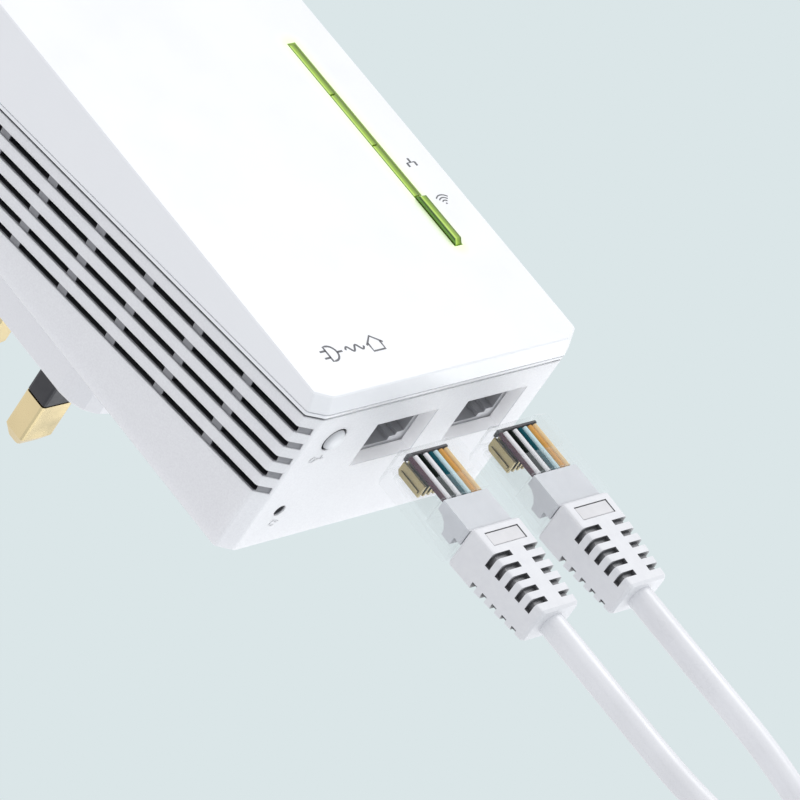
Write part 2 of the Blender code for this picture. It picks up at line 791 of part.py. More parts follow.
def components(black, copper, aluminium, ferrite, yellow):
    *corners, height = PROCESSOR
    front = MAIN_BOARD_Y - GAP
    solid("processor", component(corners, front - height, front), black)
    *corners, height = COUPLING_TRANSFORMER
    rear = MAIN_BOARD_Y + BOARD + GAP
    solid("coupling_transformer", component(corners, rear, rear + height), yellow, bevel=BEVEL)
    board = POWER_BOARD_Y - GAP
    *corners, height = CORE
    core = solid("transformer_core", component(corners, board - height, board), ferrite)
    window = component(CORE_WINDOW, board - height - OVERSHOOT, board + OVERSHOOT)
    combine(core, "core_window", window)
    outline = rounded(*WINDING_CENTRE, *WINDING_SIZE, WINDING_CORNER)
    winding = prism(outline, board - height + WINDING_INSET, board - WINDING_INSET, "Y")
    solid("transformer_winding", winding, copper)
    profile = [
        (0.0046, board),
        (0.0050, board - 0.0006),
        (0.0050, board - 0.0015),
        (0.0046, board - 0.0020),
        (0.0050, board - 0.0025),
        (0.0050, board - 0.0135),
        (0.0046, board - 0.0140),
    ]
    solid("reservoir_capacitor", turned(profile, CAPACITOR_CENTRE, "Y"), aluminium)
    x, z = CHOKE_CENTRE
    choke = ring(Vector((x, board - CHOKE_HEIGHT, z)), CHOKE_RADIUS, CHOKE_SECTION, 12, 10)
    solid("mains_choke", choke, copper)
    fuse = prism(circle(board - FUSE_HEIGHT, FUSE_Z, FUSE_RADIUS, 16), *FUSE_X, "X")
    solid("mains_fuse", fuse, black)
    inner, upright, outer = ANTENNA_X
    low, arm, high = ANTENNA_Z
    near, far = ANTENNA_HEIGHTS
    for name, side in (("antenna_left", -1), ("antenna_right", 1)):
        outline = [
            (side * inner, low),
            (side * outer, low),
            (side * outer, high),
            (side * upright, high),
            (side * upright, arm),
            (side * inner, arm),
        ]
        solid(name, prism(outline, front - far, front - near, "Y"), aluminium)


# Patch leads


def plug_body(name, x, nose, clear):
    """A clear plug that hangs down from its nose, hollow for its wires and its insert."""
    front = PLUG_FRONT_Y
    back = front + PLUG_DEPTH
    half = PLUG_WIDTH / 2
    ends = []
    for inset, along in ((PLUG_CHAMFER, 0.0), (0.0, PLUG_CHAMFER), (0.0, PLUG_LENGTH)):
        z = nose - along
        ends.append(
            [
                (x - half + inset, front + inset, z),
                (x + half - inset, front + inset, z),
                (x + half - inset, back, z),
                (x - half + inset, back, z),
            ]
        )
    body = solid(name, loft(ends), clear)
    above = -OVERSHOOT
    below = PLUG_LENGTH + OVERSHOOT
    # Half the width of each cut, its front and back, and how far below the nose it runs.
    cuts = (
        ("spring_rebate", 0.0044, front - OVERSHOOT, front + 0.00094, above, 0.0060),
        ("contact_window", 0.0044, front + 0.0022, front + 0.0046, above, 0.0011),
        ("wire_pocket", 0.0044, front + 0.0007, front + 0.0048, 0.0009, 0.0095),
        ("insert_pocket", 0.0049, front + 0.0004, front + 0.0050, 0.0091, below),
        ("latch_channel", 0.0034, back - 0.0013, back + OVERSHOOT, above, below),
    )
    for label, wide, low_y, high_y, near, far in cuts:
        cutter = box((x - wide, low_y, nose - far), (x + wide, high_y, nose - near))
        combine(body, f"{name}_{label}", cutter)


def plug_contacts(name, x, nose, gold):
    """Eight blades behind the wires on one comb, in reach of the window at the nose."""
    front = PLUG_FRONT_Y
    comb = box(
        (x - COMB_HALF, front + 0.0036, nose - 0.0052),
        (x + COMB_HALF, front + 0.0040, nose - 0.0014),
    )
    contacts = solid(name, comb, gold)
    blades = bmesh.new()
    outline = [
        (front + 0.0024, nose - 0.0009),
        (front + 0.0040, nose - 0.0009),
        (front + 0.0045, nose - 0.0014),
        (front + 0.0045, nose - 0.0056),
        (front + 0.0024, nose - 0.0056),
    ]
    for middle in contact_places(x):
        prism(outline, middle - BLADE / 2, middle + BLADE / 2, "X", blades)
    combine(contacts, f"{name}_blades", blades, "UNION")


def insert(name, x, nose, grey):
    """The block that grips the wires: thin where they enter, full depth at the cord."""
    front = PLUG_FRONT_Y + 0.0007
    thin = PLUG_FRONT_Y + 0.0024
    deep = PLUG_FRONT_Y + 0.0047
    top = nose - INSERT_SPAN[0]
    low = nose - INSERT_SPAN[1]
    notch = deep - INSERT_NOTCH
    outline = [(front, top), (front, low), (notch, low), (notch, low + INSERT_NOTCH)]
    outline.append((deep, low + INSERT_NOTCH))
    for step in range(5):
        t = step / 4 * pi / 2
        outline.append((deep - (deep - thin) * sin(t), top - INSERT_WAIST * cos(t)))
    solid(name, prism(outline, x - INSERT_HALF, x + INSERT_HALF, "X"), grey)


def latch(name, x, nose, clear):
    """The springy tongue behind the plug, joined near the nose and sloping away below it."""
    back = PLUG_FRONT_Y + PLUG_DEPTH - 0.0001
    start = nose - LATCH_START
    end = start - LATCH_LENGTH
    rise = LATCH_LENGTH * LATCH_SLOPE
    outline = [
        (back - LATCH_THICK, start),
        (back, start),
        (back + rise, end),
        (back + rise - LATCH_THICK, end),
    ]
    tongue = prism(outline, x - LATCH_HALF, x + LATCH_HALF, "X")
    hinge = (x, back - LATCH_THICK / 2, nose - LATCH_HINGE)
    solid(name, tongue, clear, hinge)


def boot(name, x, y, start, down, grey):
    """A ribbed strain relief that narrows towards the cord, with a name window in front."""
    sizes = (
        (0.0093, 0.0066, 0.0),
        (0.0097, 0.0070, 0.0003),
        (0.0095, 0.0069, 0.0050),
        (0.0078, 0.0060, BOOT_LENGTH - 0.0004),
        (0.0072, 0.0054, BOOT_LENGTH),
    )
    rings = [
        [(a, b, start + down * along) for a, b in rounded(x, y, width, deep, BOOT_CORNER, 3)]
        for width, deep, along in sizes
    ]
    body = solid(name, loft(rings), grey)
    low, high = sorted(start + down * along for along in BOOT_WINDOW)
    half = BOOT_WINDOW_HALF
    window = box((x - half, y - BOOT_REACH, low), (x + half, y - 0.0032, high))
    combine(body, f"{name}_window", window)
    slots = bmesh.new()
    for row in range(BOOT_ROWS):
        middle = start + down * (BOOT_FIRST_SLOT + BOOT_PITCH * row)
        span = (middle - BOOT_SLOT / 2, middle + BOOT_SLOT / 2)
        # The slots' floors follow the boot as it narrows.
        side_x = 0.0040 - 0.00017 * row
        front_y = 0.0028 - 0.00009 * row
        for side in (-1, 1):
            outline = [
                (x + side * 0.0014, y - BOOT_REACH),
                (x + side * BOOT_REACH, y - BOOT_REACH),
                (x + side * BOOT_REACH, y - 0.0012),
                (x + side * side_x, y - 0.0012),
                (x + side * side_x, y - front_y),
                (x + side * 0.0014, y - front_y),
            ]
            prism(outline, *span, "Z", slots)
            notch = [
                (x + side * 0.0032, y + BOOT_REACH),
                (x + side * BOOT_REACH, y + BOOT_REACH),
                (x + side * BOOT_REACH, y + 0.0018),
                (x + side * 0.0032, y + 0.0023),
            ]
            prism(notch, *span, "Z", slots)
    combine(body, f"{name}_slots", slots)


def wire_ribbon(name, x, y, low, high, plastic):
    """Eight insulated wires side by side, each a round bump of one flat strip."""
    outline = []
    middles = contact_places(x)
    for side, order in ((1, middles), (-1, reversed(middles))):
        for middle in order:
            for step in (40, 90, 140):
                t = radians(180 - step if side > 0 else step)
                a = middle + WIRE_RADIUS * cos(t)
                outline.append((a, y + side * WIRE_RADIUS * sin(t)))
    solid(name, prism(outline, low, high, "Z"), plastic)


def coil_centre(side, x):
    """Where the coil hangs: beside its lead, so that the lead runs into it smoothly."""
    turn_in = ENTRY_RADIUS * (1 - cos(pi / 4))
    reach = COIL_RADIUS * cos(pi / 4)
    return Vector((x - side * (turn_in - reach), LEAD_Y - side * COIL_OFFSET_Y, COIL_Z))


def lead_route(side, x):
    """The lead's centre line from its boot to the coil: down, then over into the turns."""
    centre = coil_centre(side, x)
    start_z = PLUG_REST_Z - PLUG_LENGTH - BOOT_LENGTH - 2 * GAP
    bend_z = COIL_Z + (COIL_RADIUS + ENTRY_RADIUS) * sin(pi / 4)
    end_z = COIL_Z + COIL_RADIUS * sin(pi / 4)
    points = []
    for i in range(ROUTE_STEPS + 1):
        z = start_z + (end_z - start_z) * i / ROUTE_STEPS
        drop = min(max((bend_z - z) / (ENTRY_RADIUS * sin(pi / 4)), 0.0), 1.0)
        angle_sine = drop * sin(pi / 4)
        inwards = ENTRY_RADIUS * (1 - (1 - angle_sine**2) ** 0.5)
        share = min(max((SWAY_Z - z) / (SWAY_Z - end_z), 0.0), 1.0)
        blend = (1 - cos(pi * share)) / 2
        y = LEAD_Y + (centre.y - LEAD_Y) * blend
        points.append(Vector((x - side * inwards, y, z)))
    return points


def clear_of_coil(point, centre):
    flat = Vector((point.x - centre.x, 0, point.z - centre.z))
    off = Vector((flat.length - COIL_RADIUS, point.y - centre.y))
    return off.length > COIL_SECTION + CORD_RADIUS + GAP


def cord(name, points, grey):
    curve = bpy.data.curves.new(name, "CURVE")
    curve.dimensions = "3D"
    curve.bevel_depth = CORD_RADIUS
    curve.bevel_resolution = 3
    curve.use_fill_caps = True
    spline = curve.splines.new("POLY")
    spline.points.add(len(points) - 1)
    for spot, point in zip(spline.points, points):
        spot.co = (*point, 1)
    curve.materials.append(grey)
    thing = bpy.data.objects.new(name, curve)
    bpy.context.scene.collection.objects.link(thing)


def coil(name, centre, grey):
    solid(name, ring(centre, COIL_RADIUS, COIL_SECTION, 32, 10), grey)


def patch_lead(name, side, x, looks):
    nose = PLUG_REST_Z
    end = nose - PLUG_LENGTH
    plug_body(f"{name}_plug", x, nose, looks["clear"])
    plug_contacts(f"{name}_plug_contacts", x, nose, looks["gold"])
    wires_y = PLUG_FRONT_Y + WIRE_DEPTH
    wires_low = nose - WIRE_SPAN[1]
    wires_high = nose - WIRE_SPAN[0]
    wire_ribbon(f"{name}_plug_wires", x, wires_y, wires_low, wires_high, looks["wire"])
    insert(f"{name}_plug_insert", x, nose, looks["light"])
    latch(f"{name}_plug_latch", x, nose, looks["clear"])
    boot(f"{name}_plug_boot", x, LEAD_Y, end - GAP, -1, looks["boot"])
    centre = coil_centre(side, x)
    route = [point for point in lead_route(side, x) if clear_of_coil(point, centre)]
    cord(f"{name}_cord", route, looks["cord"])
    coil(f"{name}_cord_coil", centre, looks["cord"])
    far_x = centre.x - side * COIL_RADIUS
    far_top = centre.z - FAR_DROP
    boot(f"{name}_far_boot", far_x, centre.y, far_top - BOOT_LENGTH, 1, looks["boot"])
    far_end = far_top - BOOT_LENGTH - GAP
    half = PLUG_WIDTH / 2
    deep = PLUG_DEPTH / 2
    far_body = box(
        (far_x - half, centre.y - deep, far_end - PLUG_LENGTH),
        (far_x + half, centre.y + deep, far_end),
    )
    solid(f"{name}_far_plug", far_body, looks["clear"], bevel=BEVEL)


def main():
    for thing in list(bpy.data.objects):
        bpy.data.objects.remove(thing)
    white = finish("white_gloss", (0.86, 0.88, 0.89), 0.18)
    satin = finish("white_satin", (0.80, 0.82, 0.84), 0.42)
    black = finish("black_plastic", (0.03, 0.03, 0.035), 0.5)
    grey = finish("grey_plastic", (0.35, 0.36, 0.38), 0.5)
    green = finish("green_lens", (0.25, 0.85, 0.25), 0.2, transmission=0.4)
    clear = finish("clear_plastic", (0.9, 0.92, 0.93), 0.08, transmission=0.9)
    board = finish("board", (0.05, 0.22, 0.10), 0.5)
    sheet = finish("sheet", (0.75, 0.72, 0.60), 0.6)
    gold = finish("gold", (0.85, 0.62, 0.25), 0.25, metallic=1.0)
    brass = finish("brass", (0.78, 0.66, 0.40), 0.3, metallic=1.0)
    steel = finish("steel", (0.55, 0.56, 0.58), 0.35, metallic=1.0)
    aluminium = finish("aluminium", (0.7, 0.7, 0.72), 0.35, metallic=1.0)
    copper = finish("copper", (0.72, 0.38, 0.20), 0.4, metallic=1.0)
    ferrite = finish("ferrite", (0.10, 0.10, 0.11), 0.7)
    yellow = finish("yellow_tape", (0.80, 0.65, 0.15), 0.5)

    front_cover(white)
    rear_housing(satin)
    plug_base(satin)
    mains_pins(brass, black)
    screws(steel)
    boards(board, sheet)
    for side, x in zip(("left", "right"), PORT_X):
        jack(side, x, grey, gold)
    lights(green)
    wifi_control(green, black, grey)
    end_controls(satin, black, grey)
    components(black, copper, aluminium, ferrite, yellow)
    looks = {
        "clear": clear,
        "gold": gold,
        "wire": finish("wire", (0.8, 0.8, 0.82), 0.4),
        "light": finish("light_insert", (0.75, 0.76, 0.78), 0.5),
        "boot": finish("boot", (0.62, 0.64, 0.66), 0.6),
        "cord": finish("cord_jacket", (0.80, 0.82, 0.84), 0.35),
    }
    patch_lead("left", 1, PORT_X[0], looks)
    patch_lead("right", -1, PORT_X[1], looks)
    for thing in bpy.data.objects:
        thing.location.z -= ORIGIN_Z


main()
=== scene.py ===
"""The looks of a plug-in powerline adapter and its two patch leads."""

from math import cos, pi, radians, sin

import bmesh
import bpy
from mathutils import Matrix, Vector


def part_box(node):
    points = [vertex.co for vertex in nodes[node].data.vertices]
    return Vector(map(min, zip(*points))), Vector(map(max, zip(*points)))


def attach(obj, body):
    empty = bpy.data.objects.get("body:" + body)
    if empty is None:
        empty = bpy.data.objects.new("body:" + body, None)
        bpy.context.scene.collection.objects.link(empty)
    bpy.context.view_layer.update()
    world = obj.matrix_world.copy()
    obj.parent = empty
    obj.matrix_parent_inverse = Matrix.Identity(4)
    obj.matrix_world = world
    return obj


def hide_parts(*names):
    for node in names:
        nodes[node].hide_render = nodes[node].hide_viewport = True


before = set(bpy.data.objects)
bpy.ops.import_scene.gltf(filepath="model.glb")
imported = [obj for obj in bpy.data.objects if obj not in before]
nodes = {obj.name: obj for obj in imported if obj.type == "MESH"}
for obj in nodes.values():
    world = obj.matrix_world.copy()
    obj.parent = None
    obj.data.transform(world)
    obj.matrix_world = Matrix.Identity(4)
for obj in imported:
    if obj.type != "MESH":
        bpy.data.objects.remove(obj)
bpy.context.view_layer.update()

# Sizes that the model's source also states, in metres.
HALF_WIDTH = 0.027
CORNER_X = 0.0026
CORNER_Z = 0.0015
CORD_RADIUS = 0.0019
COIL_RADIUS = 0.0228
COIL_TURNS = 6
ENTRY_RADIUS = 0.025
FAR_DROP = 0.0270
GAP = 0.0003
PAIR_XY = (-0.0188, -0.0312)
PAIR_RADIUS = 0.0018
RESET_XY = (-0.0200, -0.0173)
RESET_RADIUS = 0.0010
BAR_HEIGHT = 0.0007
WIRE_PITCH = 0.00102

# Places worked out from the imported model.
COVER_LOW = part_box("front_cover")[0]
HOUSING_LOW, HOUSING_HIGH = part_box("rear_housing")
FRONT_Y = COVER_LOW.y
LOW_END = COVER_LOW.z
BAR_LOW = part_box("wifi_button")[0]
STRIP_LOW, STRIP_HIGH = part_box("power_light")
STRIP_X = (STRIP_LOW.x + STRIP_HIGH.x) / 2
LENS_FOOT = 0.0007

# The stretches over which a painted shade fades in: across the housing to its vented sides,
# below the skin into a groove and into a slot, and along a groove towards its tip.
VENT_SIDE = (0.0225, 0.0232)
GROOVE_DEPTH = (0.00010, 0.00028)
SLOT_DEPTH = (0.00034, 0.00050)
GROOVE_TIP = (0.0012, 0.0002)

# Bands that fade in between the first two places and out between the last two: the short
# walls round the ports, which get a painted glow, with their height above the lower end, and
# a hole's wall above it, which gets painted shade.
PORT_WALLS_X = (-0.0125, -0.0122, 0.0212, 0.0215)
PORT_WALLS_Y = (-0.0323, -0.0321, -0.0235, -0.0232)
PORT_WALLS_UP = (0.00005, 0.00020, 0.0019, 0.0021)
HOLE_WALL_UP = (0.00010, 0.00035, 0.0030, 0.0032)

# The light that the strip spills on the front beside it, and the shade inside its slot.
SPILL_REACH = (0.0008, 0.0034)
SPILL_LIGHT = 0.35
SLOT_REACH = (0.0012, 0.0010)
SLOT_BELOW = (0.00004, 0.00010)
SLOT_COLOUR = (0.17, 0.30, 0.02)

# The lens's edge as a share of its width, and the flecks inside it.
LENS_EDGE = (0.04, 0.015)
FLECK_SCALE = 260
FLECK_NOISE = (0.55, 0.78)
FLECK_SHARE = 0.2

# The part of a noise that counts, and the colour of the painted glow on the walls round the ports.
NOISE_SPAN = (0.3, 0.7)
WALL_LIGHT = (0.97, 0.97, 1.0)

# A button's ring of painted shade, its rim and its wall as shares of its radius.
BUTTON_RINGS = (0.70, 0.97, 0.99)
BUTTON_SHADE = 0.6
HOLE_FADE = 0.0001
JACK_FACE_UP = (0.00012, 0.00004)
HOLLOW_SAMPLES = 8

# How clear plastic turns from see-through to its own colour towards its outline.
CLEAR_BLEND = 0.35
CLEAR_FACING = (0.42, 0.97)


# Materials


class Look:
    """A Principled material and the nodes that vary it."""

    def __init__(self, name, colour, roughness, **sockets):
        self.material = bpy.data.materials.new(name)
        self.material.use_nodes = True
        self.tree = self.material.node_tree
        self.shader = self.tree.nodes["Principled BSDF"]
        self.shader.inputs["Base Color"].default_value = (*colour, 1.0)
        self.shader.inputs["Roughness"].default_value = roughness
        for socket, value in sockets.items():
            self.shader.inputs[socket.replace("_", " ")].default_value = value
        self.place = self.tree.nodes.new("ShaderNodeTexCoord").outputs["Object"]

    def join(self, source, target):
        self.tree.links.new(source, target)

    def noise(self, scale, detail=3.0):
        node = self.tree.nodes.new("ShaderNodeTexNoise")
        node.inputs["Scale"].default_value = scale
        node.inputs["Detail"].default_value = detail
        self.join(self.place, node.inputs["Vector"])
        return node.outputs["Fac"]

    def spread(self, value, start, end, low, high):
        """The value's stretch from start to end, turned into one from low to high."""
        node = self.tree.nodes.new("ShaderNodeMapRange")
        names = ("From Min", "From Max", "To Min", "To Max")
        for name, number in zip(names, (start, end, low, high)):
            node.inputs[name].default_value = number
        self.join(value, node.inputs["Value"])
        return node.outputs["Result"]

    def maths(self, operation, *terms):
        node = self.tree.nodes.new("ShaderNodeMath")
        node.operation = operation
        for i, term in enumerate(terms):
            if isinstance(term, (int, float)):
                node.inputs[i].default_value = term
            else:
                self.join(term, node.inputs[i])
        return node.outputs["Value"]

    def along(self, axis):
        node = self.tree.nodes.new("ShaderNodeSeparateXYZ")
        self.join(self.place, node.inputs["Vector"])
        return node.outputs[axis]

    def mix(self, share):
        """A colour mix by a share from 0 to 1: its two colour inputs and its result."""
        node = self.tree.nodes.new("ShaderNodeMix")
        node.data_type = "RGBA"
        self.join(share, node.inputs["Factor"])
        under, over = [socket for socket in node.inputs if socket.type == "RGBA"]
        result = [socket for socket in node.outputs if socket.type == "RGBA"][0]
        return under, over, result

    def tint(self, share, colour):
        """Mixes a colour over what the base already shows, by a share from 0 to 1."""
        base = self.shader.inputs["Base Color"]
        under, over, result = self.mix(share)
        if base.is_linked:
            self.join(base.links[0].from_socket, under)
        else:
            under.default_value = base.default_value
        over.default_value = (*colour, 1.0)
        self.join(result, base)
        return self

    def vary_roughness(self, scale, low, high):
        result = self.spread(self.noise(scale), *NOISE_SPAN, low, high)
        self.join(result, self.shader.inputs["Roughness"])
        return self

    def vary_colour(self, scale, other):
        return self.tint(self.spread(self.noise(scale), *NOISE_SPAN, 0.0, 1.0), other)

    def bump(self, scale, depth, detail=2.0):
        node = self.tree.nodes.new("ShaderNodeBump")
        node.inputs["Distance"].default_value = depth
        self.join(self.noise(scale, detail), node.inputs["Height"])
        self.join(node.outputs["Normal"], self.shader.inputs["Normal"])
        return self

    def darken_vents(self, tip, shade, dark):
        """Paints shade into the vents by depth below the skin: grooves grey, slots black.

        The painted shade in the grooves is paler towards their tips on the cut corners.
        """
        sideways = self.maths("ABSOLUTE", self.along("X"))
        from_side = self.maths("SUBTRACT", HALF_WIDTH, sideways)
        above = self.maths("SUBTRACT", self.along("Z"), HOUSING_LOW.z)
        below = self.maths("SUBTRACT", HOUSING_HIGH.z, self.along("Z"))
        from_end = self.maths("MINIMUM", above, below)
        from_back = self.maths("SUBTRACT", HOUSING_HIGH.y, self.along("Y"))
        length = (CORNER_X**2 + CORNER_Z**2) ** 0.5
        across = self.maths("MULTIPLY", from_side, CORNER_Z / length)
        lengthways = self.maths("MULTIPLY", from_end, CORNER_X / length)
        slant = self.maths("ADD", across, lengthways)
        from_corner = self.maths("SUBTRACT", slant, CORNER_X * CORNER_Z / length)
        depth = self.maths("MINIMUM", from_side, self.maths("MINIMUM", from_end, from_corner))
        depth = self.maths("MINIMUM", depth, from_back)
        near_side = self.spread(sideways, *VENT_SIDE, 0.0, 1.0)
        sunk = self.spread(depth, *GROOVE_DEPTH, 0.0, 1.0)
        groove = self.maths("MULTIPLY", sunk, near_side)
        self.tint(groove, shade)
        near_tip = self.spread(from_end, *GROOVE_TIP, 0.0, 1.0)
        self.tint(self.maths("MULTIPLY", groove, near_tip), tip)
        deep = self.spread(depth, *SLOT_DEPTH, 0.0, 1.0)
        return self.tint(self.maths("MULTIPLY", deep, near_side), dark)

    def band(self, value, fade):
        """One between the middle two places of a fade, and nothing past its outer two."""
        start = self.spread(value, fade[0], fade[1], 0.0, 1.0)
        end = self.spread(value, fade[2], fade[3], 1.0, 0.0)
        return self.maths("MULTIPLY", start, end)

    def glow_port_walls(self, strength):
        """A painted glow keeps the walls round the ports nearly as pale as the face they are in."""
        height = self.band(self.maths("SUBTRACT", self.along("Z"), HOUSING_LOW.z), PORT_WALLS_UP)
        across = self.band(self.along("X"), PORT_WALLS_X)
        deep = self.band(self.along("Y"), PORT_WALLS_Y)
        place = self.maths("MULTIPLY", height, self.maths("MULTIPLY", across, deep))
        self.shader.inputs["Emission Color"].default_value = (*WALL_LIGHT, 1.0)
        self.join(self.maths("MULTIPLY", place, strength), self.shader.inputs["Emission Strength"])
        return self

    def off_axis(self, centre):
        """How far a point lies from an upright axis through the given x and y."""
        off_x = self.maths("SUBTRACT", self.along("X"), centre[0])
        off_y = self.maths("SUBTRACT", self.along("Y"), centre[1])
        square_x = self.maths("MULTIPLY", off_x, off_x)
        return self.maths("SQRT", self.maths("ADD", square_x, self.maths("MULTIPLY", off_y, off_y)))

    def shade_rim(self, centre, radius, shade, dark):
        """Paints shade on a button towards its edge and dark shade on its wall in the hole."""
        out = self.off_axis(centre)
        inner, rim, wall = [share * radius for share in BUTTON_RINGS]
        self.tint(self.spread(out, inner, rim, 0.0, BUTTON_SHADE), shade)
        return self.tint(self.spread(out, rim, wall, 0.0, 1.0), dark)

    def darken_hole(self, centre, radius, colour):
        """Paints shade on the wall of a round hole in the lower end, from just below its rim."""
        inside = self.spread(self.off_axis(centre), radius + HOLE_FADE, radius, 0.0, 1.0)
        height = self.band(self.maths("SUBTRACT", self.along("Z"), LOW_END), HOLE_WALL_UP)
        return self.tint(self.maths("MULTIPLY", inside, height), colour)

    def pale_rim(self, colour):
        """Painted light: a pale face round the sockets, where the moulding meets the end wall, over the
        plastic's darker inside.
        """
        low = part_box("jack_left")[0].z
        start, end = [low + up for up in JACK_FACE_UP]
        return self.tint(self.spread(self.along("Z"), start, end, 0.0, 1.0), colour)

    def shade_hollows(self, reach, colour, low=0.30, high=0.72):
        """Paints shade into slots and notches that are narrower than reach, by their occlusion."""
        node = self.tree.nodes.new("ShaderNodeAmbientOcclusion")
        node.samples = HOLLOW_SAMPLES
        node.only_local = True
        node.inputs["Distance"].default_value = reach
        return self.tint(self.spread(node.outputs["AO"], low, high, 1.0, 0.0), colour)

    def see_through(self, facing, edge):
        """Lets the most light through where the surface faces the eye, as clear plastic does."""
        node = self.tree.nodes.new("ShaderNodeLayerWeight")
        node.inputs["Blend"].default_value = CLEAR_BLEND
        share = self.spread(node.outputs["Facing"], *CLEAR_FACING, facing, edge)
        self.join(share, self.shader.inputs["Alpha"])
        return self

    def glow_beside(self, colour, strength):
        """Light that spills from the strip onto the front beside it."""
        beside = self.maths("ABSOLUTE", self.maths("SUBTRACT", self.along("X"), STRIP_X))
        height = (BAR_LOW.z + STRIP_HIGH.z) / 2
        reach = (STRIP_HIGH.z - BAR_LOW.z) / 2
        off_middle = self.maths("ABSOLUTE", self.maths("SUBTRACT", self.along("Z"), height))
        away = self.maths("MAXIMUM", self.maths("SUBTRACT", off_middle, reach), 0.0)
        squares = [self.maths("MULTIPLY", part, part) for part in (beside, away)]
        far = self.maths("SQRT", self.maths("ADD", *squares))
        near = self.spread(far, *SPILL_REACH, 1.0, 0.0)
        spill = self.maths("MULTIPLY", near, near)
        self.tint(self.maths("MULTIPLY", spill, strength), colour)
        self.shader.inputs["Emission Color"].default_value = (*colour, 1.0)
        light = self.maths("MULTIPLY", spill, SPILL_LIGHT)
        self.join(light, self.shader.inputs["Emission Strength"])
        below = self.maths("SUBTRACT", self.along("Y"), FRONT_Y)
        in_slot = self.spread(below, *SLOT_BELOW, 0.0, 1.0)
        close = self.spread(far, *SLOT_REACH, 0.0, 1.0)
        return self.tint(self.maths("MULTIPLY", in_slot, close), SLOT_COLOUR)

    def ramp(self, value, stops):
        """Colours along a value from 0 to 1, as (place, colour) stops."""
        node = self.tree.nodes.new("ShaderNodeValToRGB")
        while len(node.color_ramp.elements) < len(stops):
            node.color_ramp.elements.new(1.0)
        for element, (place, colour) in zip(node.color_ramp.elements, stops):
            element.position = place
            element.color = (*colour, 1.0)
        self.join(value, node.inputs["Fac"])
        return node.outputs["Color"]

    def lens_hue_and_painted_light(self, top, side):
        """The lens's bands with painted highlight and shade: across its top left to right, down its
        sides.
        """
        half = (STRIP_HIGH.x - STRIP_LOW.x) / 2 - LENS_FOOT
        across = self.spread(self.along("X"), STRIP_X - half, STRIP_X + half, 0.0, 1.0)
        down = self.spread(self.along("Y"), FRONT_Y - BAR_HEIGHT, FRONT_Y, 0.0, 1.0)
        under, over, result = self.mix(self.spread(across, *LENS_EDGE, 0.0, 1.0))
        self.join(self.ramp(across, top), under)
        self.join(self.ramp(down, side), over)
        self.join(result, self.shader.inputs["Base Color"])
        flecks = self.spread(self.noise(FLECK_SCALE), *FLECK_NOISE, 0.0, FLECK_SHARE)
        return self.tint(flecks, top[0][1])


# Each look's colour, roughness, share of roughness variation, grain size and grain depth.
PLAIN_LOOKS = {
    "black_plastic": ((0.030, 0.030, 0.035), 0.45, 0.2, 1800, 6e-6),
    "grey_plastic": ((0.33, 0.34, 0.36), 0.50, 0.2, 1500, 6e-6),
    "boot_label": ((0.70, 0.69, 0.70), 0.45, 0.2, 2400, 6e-6),
    "cord_jacket": ((0.82, 0.82, 0.84), 0.30, 0.2, 700, 5e-6),
    "tie_band": ((0.12, 0.12, 0.13), 0.80, 0.1, 2500, 8e-5),
    "print_grey": ((0.12, 0.12, 0.13), 0.50, 0.2, 3000, 2e-6),
    "sheet": ((0.72, 0.68, 0.55), 0.50, 0.2, 500, 1e-5),
    "ferrite": ((0.08, 0.08, 0.09), 0.60, 0.2, 1600, 2e-5),
    "yellow_tape": ((0.80, 0.62, 0.10), 0.35, 0.25, 700, 2e-5),
    "wire_plum": ((0.050, 0.004, 0.020), 0.50, 0.05, 900, 1e-6),
    "wire_black": ((0.004, 0.008, 0.006), 0.50, 0.05, 900, 1e-6),
    "wire_teal": ((0.006, 0.070, 0.090), 0.50, 0.05, 900, 1e-6),
    "wire_orange": ((0.640, 0.330, 0.090), 0.35, 0.1, 900, 1e-6),
    "wire_peach": ((0.760, 0.560, 0.300), 0.35, 0.1, 900, 1e-6),
    "wire_white": ((0.800, 0.790, 0.800), 0.35, 0.2, 900, 2e-6),
    "wire_pale": ((0.560, 0.720, 0.740), 0.35, 0.2, 900, 2e-6),
}
METAL_LOOKS = {
    "brass": ((0.80, 0.66, 0.38), 0.28, 0.3, 800, 6e-6),
    "steel": ((0.60, 0.61, 0.63), 0.32, 0.25, 1200, 6e-6),
    "copper": ((0.75, 0.36, 0.18), 0.35, 0.25, 3000, 3e-5),
    "aluminium": ((0.72, 0.72, 0.74), 0.35, 0.2, 900, 6e-6),
}

# In grains of the surface, how large its clouds of colour and smears of gloss are.
CLOUD_SIZE = 6
CLOUD_SHADE = 0.93
SMEAR_SIZE = 4
WIRE_SHINE = 0.05

# The lens's colours across its top and down its sides: its own green with a painted highlight
# and painted dark lines of shade.
LENS_TOP = (
    (0.00, (0.05, 0.15, 0.02)),
    (0.10, (0.34, 0.56, 0.06)),
    (0.22, (0.56, 0.78, 0.12)),
    (0.40, (0.28, 0.44, 0.03)),
    (0.70, (0.17, 0.29, 0.01)),
    (0.90, (0.08, 0.12, 0.005)),
    (1.00, (0.05, 0.08, 0.005)),
)
LENS_SIDE = (
    (0.00, (0.010, 0.045, 0.001)),
    (0.26, (0.010, 0.045, 0.001)),
    (0.46, (0.12, 0.29, 0.05)),
    (0.78, (0.11, 0.27, 0.05)),
    (0.90, (0.006, 0.020, 0.001)),
    (1.00, (0.006, 0.020, 0.001)),
)


